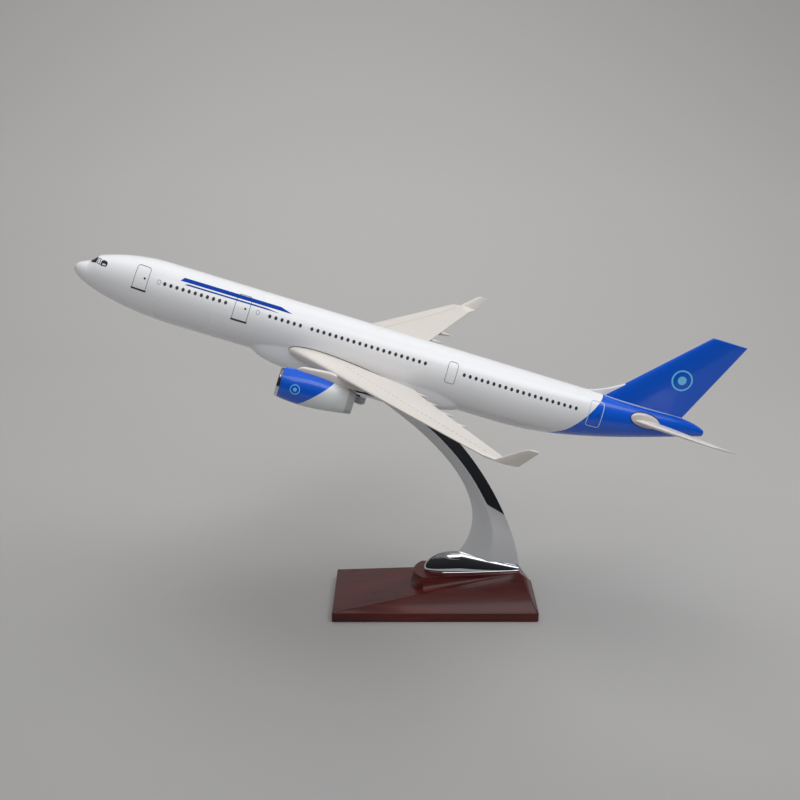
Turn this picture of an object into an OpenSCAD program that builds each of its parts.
// Desktop model of a twin-engine airliner on a chrome arm and a mahogany-finish base.
// Row frame: origin at the centre of the base's underside, +Z up, aircraft's nose towards -X.
// Aircraft frame: X aft from the nose tip, Y to starboard, Z up from the fuselage centreline.

/* [Aircraft] */
// Nose-up angle on the stand, in degrees
pitch = 15.5; // [14:0.5:17]
// Length of the fuselage
fuselage_length = 466.5; // [460:0.5:472]
// Radius of the fuselage barrel
fuselage_r = 21; // [20.6:0.1:21.4]
// Where the straight barrel starts, aft of the nose tip
nose_length = 80; // [74:1:86]
// Where the underside starts to rise to the tail
tail_start = 320; // [312:1:326]

/* [Wings] */
// Distance from the centreline to the outermost point of a winglet
half_span = 223.3; // [216:0.1:228]
// Aft sweep of the leading edge per millimetre of span
leading_sweep = 0.592; // [0.56:0.002:0.62]
// Aft sweep of the outer trailing edge per millimetre of span
trailing_sweep = 0.319; // [0.3:0.001:0.34]
// Height of the winglets
winglet_h = 12.4; // [9:0.1:15]

/* [Tail] */
// Height of the fin above the fuselage
fin_h = 62.8; // [56:0.2:68]
// Distance from the centreline to a stabilizer's tip
stabilizer_span = 72; // [66:1:78]

/* [Engines] */
// Distance from the centreline to an engine's axis
engine_y = 69; // [68:0.5:70]
// Height of an engine's axis
engine_z = -19.8; // [-20.2:0.1:-19.6]
// Largest radius of the cowl
cowl_r = 11.55; // [11.3:0.05:11.8]
// Number of fan blades
fan_blades = 20; // [14:1:26]

/* [Stand] */
// Length of the base
base_length = 152; // [146:1:158]
// Depth of the base at its wide end
base_wide = 81.8; // [76:0.2:86]
// Depth of the base at its narrow end
base_narrow = 61.6; // [58:0.2:64]
// Height of the base's upright edge
base_edge_h = 7; // [6.5:0.1:8]
// Height of the base's plinth at its narrow end
plinth_h = 29.1; // [28:0.1:30]
// Thickness of the tongue under the aircraft
tongue_t = 3.8; // [3.4:0.1:4.2]
// Diameter of the thumb screw's head
thumb_head_d = 10; // [9:0.2:11]

/* [Hidden] */
$fn = 64;

glue_gap = 0.1;                 // gap around a glued tenon
overlap = 0.5;                  // how far a cutter runs past the face it opens

// Belly fairing
fairing_front = 132;
fairing_rear = 294;
fairing_end = 34;               // length of its rounded ends
fairing_half_w = 19.3;
fairing_depth = 26.3;

// Wing
root_y = 21;
tenon_y = 13;                   // inner end of the wing's tenon
root_le = [161.5, -9.3];        // X and Z of the root's leading edge
root_te = [250, -12.9];
root_t = 11;
straight_le_y = 40;             // outboard of here the leading edge is straight
straight_le = [179.9, -7.9];
kink_y = 62;                    // where the trailing edge bends
kink_te = [253, -2.7];
dihedral_le = 0.124;            // rise of the leading edge per millimetre of span
dihedral_te = 0.107;
tip_t = 2.2;
tip_y = half_span - 7.5;
facet_y = tip_y - 8;             // where the winglet's blend facet starts on the trailing edge
track_fairings = [57, 80, 105, 131];
track_fairing_r = 2.1;
track_fairing_l = 34;
track_fairing_tilt = 4;          // degrees its axis rises towards the rear

// Fin and stabilizers, each line as [X, Z] or [X, Y, Z]
fin_base_z = 20.9;
fin_root = [388.3, 448.6];
fin_tip = [449.5, 475.5];
fin_root_t = 6.4;
fin_tip_t = 2.6;
fillet_front = 373.5;
fillet_top = [400.5, 33.4];
stab_root = [[411.5, 11.5], [446, 13.2]];
stab_tip = [[452, 23.1], [470.9, 23.2]];
stab_pad_y = 11;
stab_pad = [420.8, 13.6];       // X and Z of the oval pad's middle
stab_pad_size = [21.6, 9.4];
stab_peg_r = 2.5;
stab_peg_y = 3;

// Engine, along its own axis from the lip's front edge
engine_x = 161.3;
lip_l = 2.2;
lip_r = 10;
duct_r = 8.6;
cowl_end = 47.7;
cowl_end_r = 8.5;
ring_end = 52.5;
ring_end_r = 7.6;
plug_r = 5.35;
fan_x = 9;                      // front of the fan disc's rim

// Clamp under the belly, stacked along the screw's axis in the aircraft frame
screw_x = 220;
pad_seat_z = -24.9;             // floor of the pad's pocket
pad_t = 1.5;
pad_r = 9;
tongue_top_z = pad_seat_z - pad_t;
tongue_z = tongue_top_z - tongue_t;
washer_t = 1;
washer_r = 5.4;
thumb_head_h = 6.8;
screw_r = 1.95;                 // M4 shank
screw_tip_z = -15.5;
insert_r = 3.2;
insert_l = 9;
insert_bore_r = 2;
tongue_half_w = 7.2;
tongue_l = 26;
screw_seat = [-59.3, 0, 162.7]; // tongue's underside on the screw's axis, in the row frame

// Base
apex_x = base_length / 2 - 13.5;
apex_half_w = 8.8;
ledge = 0.9;
felt_t = 1;
felt_proud = 0.2;               // how far the felt stands below the wood
felt_margin = 4;
plinth_slope = 0.036;           // rise of the plinth's top per millimetre towards the narrow end
plinth_top_corner = [-10, 16.4];
plinth_foot_corner = [-9.2, 22.4];
plinth_top_bulge = 6.9;         // how far the round front stands out from its corners
plinth_foot_bulge = 10.6;
foot_front = -9.2;
foot_widest = [9.3, 8.1];
foot_tail = [62, 4.5];
foot_h = 14.2;
foot_top_x = [11, 18];          // where the foot is at its highest
foot_tail_h = 3.3;
base_screw_x = [26, 40];
base_screw_r = 1.45;              // M3 shank
base_thread_r = 1.5;
counterbore_r = 4.6;
counterbore_h = 12;
base_screw_l = 25;
base_head_h = 2.2;
tenon_x = [20, 45];
tenon_half_w = 3;

// Arm's two edges in side view, as the control points of a cubic curve, in the row frame
arm_inner = [[-47, 159.2], [-11.5, 135.1], [54.2, 82.1], [12, 36]];
arm_outer = [[-33, 159.2], [17.5, 145.9], [61.5, 61.5], [62.5, 29]];
arm_half_t = [4.4, 3.8];        // half thickness at the ridge, top and bottom
arm_edge_t = 0.5;               // half thickness of the two edges
arm_steps = 20;

// ---- Curves and solids from rings ----

function mix(a, b, t) = a + (b - a) * t;

function bezier(p, t) =
    p[0] * pow(1 - t, 3) + p[1] * 3 * t * pow(1 - t, 2) + p[2] * 3 * pow(t, 2) * (1 - t) + p[3] * pow(t, 3);

// Rises from 0 to 1 like a quarter of an ellipse, then stays at 1.
function round_rise(u) = sqrt(1 - pow(1 - min(max(u, 0), 1), 2));

// A closed solid through rings that all have the same number of points.
module skin(rings) {
    n = len(rings[0]);
    last = len(rings) - 1;
    sides = [
        for (r = [0 : last - 1], i = [0 : n - 1])
            let (a = r * n + i, b = r * n + (i + 1) % n)
                each [[a, b, b + n], [a, b + n, a + n]]
    ];
    caps = [
        for (i = [1 : n - 2])
            each [[0, i + 1, i], [last * n, last * n + i, last * n + i + 1]]
    ];
    polyhedron(points = [for (ring = rings) each ring], faces = concat(sides, caps));
}

// Half thickness of a rounded-nose, sharp-tailed section at fraction x of its chord.
function section_half_t(x, t) =
    t * (1.4845 * sqrt(x) - 0.63 * x - 1.758 * pow(x, 2) + 1.4215 * pow(x, 3) - 0.518 * pow(x, 4)) + 0.25 * x;

// One section of a wing: leading edge, trailing edge, thickness and the direction of thickness.
function section(le, te, t, up) =
    let (n = 24)
        [
            for (i = [0 : n - 1])
                let (a = 360 * i / n, x = (1 + cos(a)) / 2)
                    mix(le, te, x) + up * (sin(a) > 0 ? 1 : -1) * (i == 0 ? 0 : section_half_t(x, t))
        ];

module in_attitude() {
    translate(screw_seat) rotate([0, pitch, 0]) translate([-screw_x, 0, -tongue_z]) children();
}

module to_port() {
    mirror([0, 1, 0]) children();
}

// A prism across the aircraft: outline in X and Z, from y0 to y1.
module across(y0, y1) {
    translate([0, y1, 0]) rotate([90, 0, 0]) linear_extrude(y1 - y0) children();
}

// A cylinder along the clamp's screw, from z0 up to z1 in the aircraft frame.
module on_screw_axis(z0, z1, r) {
    translate([screw_x, 0, z0]) cylinder(h = z1 - z0, r = r);
}

// ---- Fuselage ----

function nose_round(x) = pow(1 - pow(1 - min(x / nose_length, 1), 2), 0.6);

// Height of the crown: nose cone up to the windscreen, windscreen, then the cabin roof.
function crown(x) =
    x < 10 ? -2 + 8.2 * pow(x / 10, 0.42)
    : x < 16 ? mix(6.2, 12, (x - 10) / 6)
    : x < 64 ? fuselage_r - 9 * pow((64 - x) / 48, 2)
    : x < 430 ? fuselage_r
    : fuselage_r - 4 * pow((x - 430) / (fuselage_length - 430), 4);

function keel(x) =
    let (l = fuselage_length - tail_start, u = max((x - tail_start) / l, 0))
        x < nose_length ? mix(-2, -fuselage_r, nose_round(x))
        : -fuselage_r + 33 * (3 * u * u - 2 * u * u * u) + 0.31 * l * (u * u * u - u * u);

function half_width(x) = x < nose_length ? fuselage_r * nose_round(x) : (crown(x) - keel(x)) / 2;

// Radius of the belly fairing's squarish section at angle a below the horizontal.
function fairing_radius(x, a) =
    let (
        f = min(round_rise((x - fairing_front) / fairing_end), round_rise((fairing_rear - x) / fairing_end)),
        w = mix(12, fairing_half_w, f),
        d = mix(15, fairing_depth - 0.0175 * (x - fairing_front - fairing_end), f)
    )
        pow(pow(abs(cos(a)) / w, 4) + pow(abs(sin(a)) / d, 4), -0.25);

function in_fairing(x, a) = a < 0 && x > fairing_front && x < fairing_rear;

function fuselage_ring(x) =
    let (n = 32, mid = (crown(x) + keel(x)) / 2, half_h = (crown(x) - keel(x)) / 2)
        [
            for (i = [0 : n - 1])
                let (
                    a = 180 - 360 * (i + 0.5) / n,
                    swell = in_fairing(x, a) ? max(1, fairing_radius(x, a) / fuselage_r) : 1
                )
                    [x, half_width(x) * cos(a) * swell, mid + half_h * sin(a) * swell]
        ];

fuselage_stations = concat(
    [0.15, 0.8, 2, 4, 7, 10, 13, 16, 20, 25, 31, 38, 46, 55, 66, nose_length],
    [for (x = [fairing_front : 6 : fairing_rear]) x],
    [tail_start],
    [for (i = [1 : 18]) tail_start + (fuselage_length - tail_start) * i / 18]
);

module fuselage_body() {
    skin([for (x = fuselage_stations) fuselage_ring(x)]);
}

module fuselage() {
    color("white") in_attitude() difference() {
        fuselage_body();
        wing_socket();
        to_port() wing_socket();
        fin_tenon(glue_gap, overlap);
        stabilizer_socket();
        to_port() stabilizer_socket();
        on_screw_axis(pad_seat_z - 4, pad_seat_z, pad_r + glue_gap);
        on_screw_axis(pad_seat_z - overlap, pad_seat_z + insert_l, insert_r);
        on_screw_axis(pad_seat_z, screw_tip_z + 1.5, insert_bore_r + 0.3);
    }
}

// ---- Wings ----

// X and Z of the leading edge at distance y from the centreline.
function le_line(y) = straight_le + (y - straight_le_y) * [leading_sweep, dihedral_le];

function wing_le(y) =
    le_line(y)
    + (root_le - le_line(root_y)) * pow(max(straight_le_y - y, 0) / (straight_le_y - root_y), 2);

function wing_te(y) =
    y < kink_y
    ? [
        mix(root_te[0], kink_te[0], (y - root_y) / (kink_y - root_y)),
        mix(root_te[1], kink_te[1], 1 - pow(1 - (y - root_y) / (kink_y - root_y), 1.6))
    ]
    : kink_te + (y - kink_y) * [trailing_sweep, dihedral_te];

function wing_t(y) = mix(tip_t, root_t, pow((tip_y - y) / (tip_y - root_y), 2.2));

function at_y(p, y) = [p[0], y, p[1]];

function wing_ring(y) = section(at_y(wing_le(y), y), at_y(wing_te(y), y), wing_t(y), [0, 0, 1]);

// The wing's last ring is cut on a slant, a triangular facet joins it to the winglet's foot,
// and the winglet leans outboard.
function winglet_rings() =
    let (
        le = wing_le(tip_y),
        te = wing_te(tip_y),
        up = [0, -0.93, 0.37],
        foot_y = half_span - 4.9,
        foot_z = te[1] + 0.5
    )
        [
            section(at_y(le, tip_y), at_y(wing_te(facet_y), facet_y), tip_t, [0, 0, 1]),
            section([le[0] + 7, foot_y, foot_z], [te[0] + 3, foot_y, foot_z], tip_t, [0, -0.6, 0.8]),
            section(
                [le[0] + 21.5, half_span, foot_z + winglet_h],
                [te[0] + 10.2, half_span, foot_z + winglet_h],
                1.1,
                up
            )
        ];

module wing_shell() {
    tenon = [for (p = wing_ring(root_y)) [p[0], tenon_y, p[2]]];
    stations = [root_y, 26, 33, straight_le_y, 50, kink_y, 85, 115, 145, 175, facet_y - 2];
    skin(concat([tenon], [for (y = stations) wing_ring(y)], winglet_rings()));
}

module wing_socket() {
    outline = section(
        at_y(root_le - [glue_gap, 0], 0),
        at_y(root_te + [3 * glue_gap, 0], 0),
        root_t + 2 * glue_gap,
        [0, 0, 1]
    );
    across(tenon_y - glue_gap, root_y + 8) polygon([for (p = outline) [p[0], p[2]]]);
}

// Canoe-shaped fairing over a flap track, under the trailing edge.
module track_fairing(y) {
    te = wing_te(y);
    translate([te[0] + 9 - track_fairing_l, y, te[1] - 3.6]) rotate([0, 90 - track_fairing_tilt, 0])
        rotate_extrude() polygon([
            [0, 0],
            for (i = [1 : 9]) [track_fairing_r * pow(sin(18 * i), 0.8), track_fairing_l * i / 10],
            [0, track_fairing_l]
        ]);
}

// The cowl's top line sets the pylon's foot.
function cowl_top(x) = engine_z + cowl_profile(x - engine_x);

module pylon(grow) {
    foot = [for (x = [172 : 6 : 208]) [x, cowl_top(x) - 1 - grow]];
    across(engine_y - 2.4 - grow, engine_y + 2.4 + grow) polygon(concat(
        foot,
        [[208.7, -10.9], [218, -10.2], [230, -8], [228, -5], [199, -4.6]],
        [[193.2, -3.9], [182.9, -4.9], [174.6, -5.8], [172.3 - grow, -7.8]]
    ));
}

module wing() {
    wing_shell();
    pylon(0);
    for (y = track_fairings) track_fairing(y);
}

module right_wing() {
    color("gainsboro") in_attitude() wing();
}

module left_wing() {
    color("gainsboro") in_attitude() to_port() wing();
}

// ---- Fin ----

function fin_ring(h) =
    let (u = h / fin_h, z = fin_base_z + h)
        section(
            [mix(fin_root[0], fin_tip[0], u), 0, z],
            [mix(fin_root[1], fin_tip[1], u), 0, z],
            mix(fin_root_t, fin_tip_t, u),
            [0, -1, 0]
        );

module fin_tenon(grow, rise) {
    depth = 8;
    translate([400 - grow, -1.5 - grow, fin_base_z - depth - grow])
        cube([32 + 2 * grow, 3 + 2 * grow, depth + 2 * grow + rise]);
}

// Fillet that runs up from the fuselage's crown into the fin's leading edge.
module dorsal_fillet() {
    length = fillet_top[0] - fillet_front;
    across(-0.9, 0.9) polygon([
        [fillet_front, fuselage_r],
        for (i = [1 : 6])
            [fillet_front + length * i / 6, mix(fuselage_r, fillet_top[1], pow(i / 6, 1.5))],
        [fillet_top[0] + 3, fuselage_r]
    ]);
}

module fin() {
    color("mediumblue") in_attitude() {
        difference() {
            union() {
                skin([for (h = [-1.4, fin_h / 2, fin_h]) fin_ring(h)]);
                dorsal_fillet();
            }
            fuselage_body();
        }
        fin_tenon(0, 0.3);
    }
}

// ---- Stabilizers ----

module stabilizer_pad(y0, y1, grow) {
    scale_z = stab_pad_size[1] / stab_pad_size[0];
    across(y0, y1) translate(stab_pad) polygon([
        for (i = [0 : 23])
            (stab_pad_size[0] / 2 + grow) * [cos(15 * i), (scale_z + grow / 20) * sin(15 * i)]
    ]);
}

module stabilizer_peg(grow) {
    translate([stab_pad[0], stab_peg_y - grow, stab_pad[1]]) rotate([-90, 0, 0])
        cylinder(h = stab_pad_y - stab_peg_y + grow + 0.2, r = stab_peg_r + grow);
}

module stabilizer_socket() {
    stabilizer_pad(stab_pad_y - 2, stab_pad_y + 8, glue_gap);
    stabilizer_peg(glue_gap);
}

module stabilizer() {
    le = stab_root[0];
    te = stab_root[1];
    skin([
        section([le[0], 11, le[1]], [te[0], 11, te[1]], 4.4, [0, 0, 1]),
        section(at_y(stab_tip[0], stabilizer_span), at_y(stab_tip[1], stabilizer_span), 1.3, [0, 0, 1])
    ]);
    stabilizer_pad(stab_pad_y - 1.9, stab_pad_y + 2.6, 0);
    stabilizer_peg(0);
}

module right_stabilizer() {
    color("gainsboro") in_attitude() stabilizer();
}

module left_stabilizer() {
    color("gainsboro") in_attitude() to_port() stabilizer();
}

// ---- Engines, each turned about its own axis ----

function cowl_profile(s) =
    s < 18 ? cowl_r - (cowl_r - lip_r) * pow((18 - s) / 18, 2)
    : cowl_r - (cowl_r - cowl_end_r) * pow((s - 18) / (cowl_end - 18), 1.7);

module on_engine_axis() {
    in_attitude() translate([engine_x, engine_y, engine_z]) rotate([0, 90, 0]) children();
}

module turned(outline) {
    rotate_extrude() polygon(outline);
}

module intake_lip() {
    turned(concat(
        [for (a = [0 : 15 : 180]) [mix(duct_r, lip_r, 0.5) - 0.7 * cos(a), lip_l / 2 * (1 - sin(a))]],
        [[cowl_profile(lip_l), lip_l], [lip_r - 0.7, lip_l]],
        [[lip_r - 0.7, lip_l + 1.2], [duct_r, lip_l + 1.2]]
    ));
}

module nacelle() {
    difference() {
        turned(concat(
            [for (s = [lip_l, 6, 10, 14, 18, 23, 28, 33, 38, 43, cowl_end]) [cowl_profile(s), s]],
            [[6.2, cowl_end], [6.2, cowl_end - 1.5], [7.2, 40], [duct_r, 30], [duct_r, lip_l + 1.3]],
            [[lip_r - 0.6, lip_l + 1.3], [lip_r - 0.6, lip_l]]
        ));
        rotate([0, -90, 0]) translate([-engine_x, -engine_y, -engine_z]) pylon(glue_gap);
    }
}

module fan_disc() {
    blade_l = duct_r - 0.7;
    difference() {
        translate([0, 0, fan_x]) cylinder(h = 6, r = duct_r - 0.02);
        translate([0, 0, fan_x - 1]) cylinder(h = 4.5, r = duct_r - 0.6);
    }
    spinner = [[0, -4], [0.9, -3.4], [2.2, -1], [2.6, 1], [2.6, 4], [0, 4]];
    turned([for (p = spinner) p + [0, fan_x]]);
    for (i = [0 : fan_blades - 1])
        rotate(360 * i / fan_blades) translate([0, 0, fan_x + 2]) rotate([32, 0, 0])
            translate([1.5, -0.15, -1.3]) cube([blade_l - 1.5, 0.3, 3]);
}

module rear_ring() {
    turned([
        [cowl_end_r, cowl_end],
        [ring_end_r, ring_end],
        [ring_end_r - 0.6, ring_end],
        [ring_end_r - 0.9, cowl_end + 0.9],
        [plug_r + 0.05, cowl_end + 0.9],
        [plug_r + 0.05, cowl_end - 1.4],
        [6.15, cowl_end - 1.4],
        [6.15, cowl_end]
    ]);
}

module exhaust_plug() {
    turned([
        [0, cowl_end - 1.4],
        [plug_r, cowl_end - 1.4],
        [plug_r, cowl_end + 0.6],
        [3.4, cowl_end + 0.9],
        [1.6, ring_end - 1.2],
        [0, ring_end - 0.3]
    ]);
}

module right_intake_lip() {
    color("silver") on_engine_axis() intake_lip();
}

module left_intake_lip() {
    color("silver") to_port() on_engine_axis() intake_lip();
}

module right_nacelle() {
    color("mediumblue") on_engine_axis() nacelle();
}

module left_nacelle() {
    color("mediumblue") to_port() on_engine_axis() nacelle();
}

module right_fan_disc() {
    color("dimgray") on_engine_axis() fan_disc();
}

module left_fan_disc() {
    color("dimgray") to_port() on_engine_axis() fan_disc();
}

module right_rear_ring() {
    color("lightgray") on_engine_axis() rear_ring();
}

module left_rear_ring() {
    color("lightgray") to_port() on_engine_axis() rear_ring();
}

module right_exhaust_plug() {
    color("gray") on_engine_axis() exhaust_plug();
}

module left_exhaust_plug() {
    color("gray") to_port() on_engine_axis() exhaust_plug();
}

// ---- Clamp between the tongue and the belly ----

module saddle_pad() {
    color("black") in_attitude() difference() {
        on_screw_axis(tongue_top_z, pad_seat_z, pad_r);
        on_screw_axis(tongue_top_z - overlap, pad_seat_z + overlap, insert_bore_r + 0.3);
    }
}

module threaded_insert() {
    color("goldenrod") in_attitude() difference() {
        on_screw_axis(pad_seat_z, pad_seat_z + insert_l, insert_r - 0.02);
        on_screw_axis(pad_seat_z - overlap, pad_seat_z + insert_l + overlap, insert_bore_r);
    }
}

module screw_washer() {
    color("silver") in_attitude() difference() {
        on_screw_axis(tongue_z - washer_t, tongue_z, washer_r);
        on_screw_axis(tongue_z - washer_t - overlap, tongue_z + overlap, insert_bore_r + 0.2);
    }
}

module thumb_screw() {
    head_top = tongue_z - washer_t;
    head_r = thumb_head_d / 2;
    ribs = 30;
    color("silver") in_attitude() {
        on_screw_axis(head_top - overlap, screw_tip_z, screw_r);
        translate([screw_x, 0, head_top - thumb_head_h]) rotate_extrude() polygon([
            [0, 0],
            [head_r - 1.2, 0],
            [head_r - 0.3, 0.9],
            [head_r - 0.3, thumb_head_h - 1.2],
            [head_r - 0.9, thumb_head_h - 0.9],
            [head_r - 0.9, thumb_head_h],
            [0, thumb_head_h]
        ]);
        for (i = [0 : ribs - 1])
            translate([screw_x, 0, head_top - thumb_head_h + 0.9]) rotate(360 * i / ribs)
                translate([head_r - 0.35, 0, 0]) cylinder(h = thumb_head_h - 2.1, r = 0.35, $fn = 16);
    }
}

// ---- Stand ----

// The arm's ring at t: a flat diamond between the inner and the outer edge.
function arm_ring(t) =
    let (
        a = bezier(arm_inner, t),
        b = bezier(arm_outer, t),
        m = (a + b) / 2,
        h = mix(arm_half_t[0], arm_half_t[1], t),
        e = arm_edge_t
    )
        [
            [a[0], e, a[1]], [a[0], -e, a[1]], [m[0], -h, m[1]],
            [b[0], -e, b[1]], [b[0], e, b[1]], [m[0], h, m[1]]
        ];

// Height of the plinth's top, which rises a little towards the narrow end.
function plinth_top(x) = plinth_h - plinth_slope * (apex_x - x);

module arm_tenon(grow) {
    x0 = tenon_x[0] - grow;
    x1 = tenon_x[1] + grow;
    across(-tenon_half_w - grow, tenon_half_w + grow)
        polygon([[x0, plinth_top(x0)], [x1, plinth_top(x1)], [x1, plinth_h + 8], [x0, plinth_h + 8]]);
}

module stand_arm() {
    color("silver") difference() {
        union() {
            difference() {
                skin([for (i = [0 : arm_steps]) arm_ring(i / arm_steps)]);
                foot_body();
                translate([-20, -20, 0]) cube([100, 40, plinth_h + foot_tail_h]);
            }
            arm_tenon(0);
            in_attitude() {
                on_screw_axis(tongue_z, tongue_top_z, tongue_half_w);
                translate([screw_x, -tongue_half_w, tongue_z]) cube([tongue_l, 2 * tongue_half_w, tongue_t]);
            }
        }
        in_attitude() on_screw_axis(tongue_z - overlap, tongue_top_z + overlap, insert_bore_r + 0.25);
        for (x = base_screw_x)
            translate([x, 0, plinth_top(x) - overlap])
                cylinder(h = base_screw_l - 16 + overlap, r = base_thread_r);
    }
}

// Plan of the foot: a blunt round nose that narrows slowly to the tail.
function foot_half_w(x) =
    x < foot_widest[0]
    ? foot_widest[1] * pow(round_rise((x - foot_front) / (foot_widest[0] - foot_front)), 0.84)
    : mix(foot_widest[1], foot_tail[1], pow((x - foot_widest[0]) / (foot_tail[0] - foot_widest[0]), 1.6));

function foot_height(x) =
    x < foot_top_x[0] ? foot_h * round_rise((x - foot_front) / (foot_top_x[0] - foot_front))
    : mix(foot_h, foot_tail_h, max(x - foot_top_x[1], 0) / (foot_tail[0] - foot_top_x[1]));

function foot_ring(x) =
    let (w = foot_half_w(x), h = foot_height(x))
        [
            for (i = [0 : 12])
                let (a = 180 - 15 * i)
                    [x, w * cos(a), plinth_top(x) + h * pow(max(sin(a), 0), 1.15)]
        ];

module foot_body() {
    stations = concat(
        [for (d = [0.1, 0.6, 1.6, 3.2, 5.4, 8, 11, 14.5]) foot_front + d],
        [for (x = [9.3 : 7 : 58.3]) x],
        [foot_tail[0]]
    );
    skin([for (x = stations) foot_ring(x)]);
}

module stand_foot() {
    color("silver") difference() {
        foot_body();
        arm_tenon(glue_gap);
    }
}

function base_corners(inset) =
    let (x = base_length / 2 - inset, w = base_wide / 2 - inset, n = base_narrow / 2 - inset)
        [[-x, -w], [x, -n], [x, n], [-x, w]];

// Outline of the plinth: a round front between two corners, then straight sides to the narrow end.
function plinth_outline(corner, bulge) =
    let (r = (pow(corner[1], 2) + pow(bulge, 2)) / (2 * bulge))
        concat(
            [
                for (i = [-6 : 6])
                    let (y = -corner[1] * i / 6)
                        [corner[0] - bulge + r - sqrt(pow(r, 2) - pow(y, 2)), y]
            ],
            [for (i = [1 : 4]) [mix(corner[0], apex_x, i / 4), mix(-corner[1], -apex_half_w, i / 4)]],
            [for (i = [4 : -1 : 1]) [mix(corner[0], apex_x, i / 4), mix(corner[1], apex_half_w, i / 4)]]
        );

// Height of the sloping facets' ridge, which is where the plinth's walls start.
function ridge_h(x) =
    let (start = ledge - base_length / 2)
        mix(base_edge_h, plinth_h, (x - start) / (apex_x - start));

module plinth() {
    foot = plinth_outline(plinth_foot_corner, plinth_foot_bulge);
    top = plinth_outline(plinth_top_corner, plinth_top_bulge);
    skin([
        [for (p = top) [p[0], p[1], plinth_top(p[0])]],
        [for (p = foot) [p[0], p[1], ridge_h(p[0]) - 0.3]],
        [for (p = foot) [p[0], p[1], base_edge_h - 1]]
    ]);
}

module base_block() {
    low = base_corners(ledge);
    color("maroon") difference() {
        union() {
            translate([0, 0, felt_proud]) linear_extrude(base_edge_h - felt_proud) polygon(base_corners(0));
            polyhedron(
                points = concat(
                    [for (p = low) [p[0], p[1], base_edge_h - 1]],
                    [for (p = low) [p[0], p[1], base_edge_h]],
                    [[apex_x, -apex_half_w, plinth_h], [apex_x, apex_half_w, plinth_h]]
                ),
                faces = [
                    [0, 1, 2], [0, 2, 3],
                    [0, 5, 1], [0, 4, 5], [1, 6, 2], [1, 5, 6], [2, 7, 3], [2, 6, 7], [3, 4, 0], [3, 7, 4],
                    [4, 8, 5], [6, 9, 7], [5, 8, 9], [5, 9, 6], [7, 9, 8], [7, 8, 4]
                ]
            );
            plinth();
        }
        translate([0, 0, -overlap]) linear_extrude(felt_t + overlap)
            polygon(base_corners(felt_margin - glue_gap));
        for (x = base_screw_x) {
            translate([x, 0, 0]) cylinder(h = counterbore_h, r = counterbore_r);
            translate([x, 0, 0]) cylinder(h = plinth_h + 1, r = base_thread_r + 0.25);
        }
    }
}

module base_felt() {
    color("black") linear_extrude(felt_t) polygon(base_corners(felt_margin));
}

module base_washers() {
    color("silver") for (x = base_screw_x)
        translate([x, 0, counterbore_h - 0.8]) difference() {
            cylinder(h = 0.8, r = 3.6);
            translate([0, 0, -overlap]) cylinder(h = 0.8 + 2 * overlap, r = base_thread_r + 0.15);
        }
}

module base_screws() {
    top = counterbore_h - 0.8;
    color("silver") for (x = base_screw_x)
        translate([x, 0, 0]) difference() {
            union() {
                translate([0, 0, top - base_head_h]) cylinder(h = base_head_h, r = 2.9);
                translate([0, 0, top - overlap]) cylinder(h = base_screw_l + overlap, r = base_screw_r);
            }
            for (a = [0, 90])
                rotate(a) translate([-1.6, -0.35, top - base_head_h - overlap])
                    cube([3.2, 0.7, 1.3 + overlap]);
        }
}

base_block();
base_felt();
base_washers();
base_screws();
stand_foot();
stand_arm();
screw_washer();
thumb_screw();
saddle_pad();
threaded_insert();
fuselage();
fin();
left_wing();
right_wing();
left_stabilizer();
right_stabilizer();
left_nacelle();
right_nacelle();
left_intake_lip();
right_intake_lip();
left_fan_disc();
right_fan_disc();
left_rear_ring();
right_rear_ring();
left_exhaust_plug();
right_exhaust_plug();
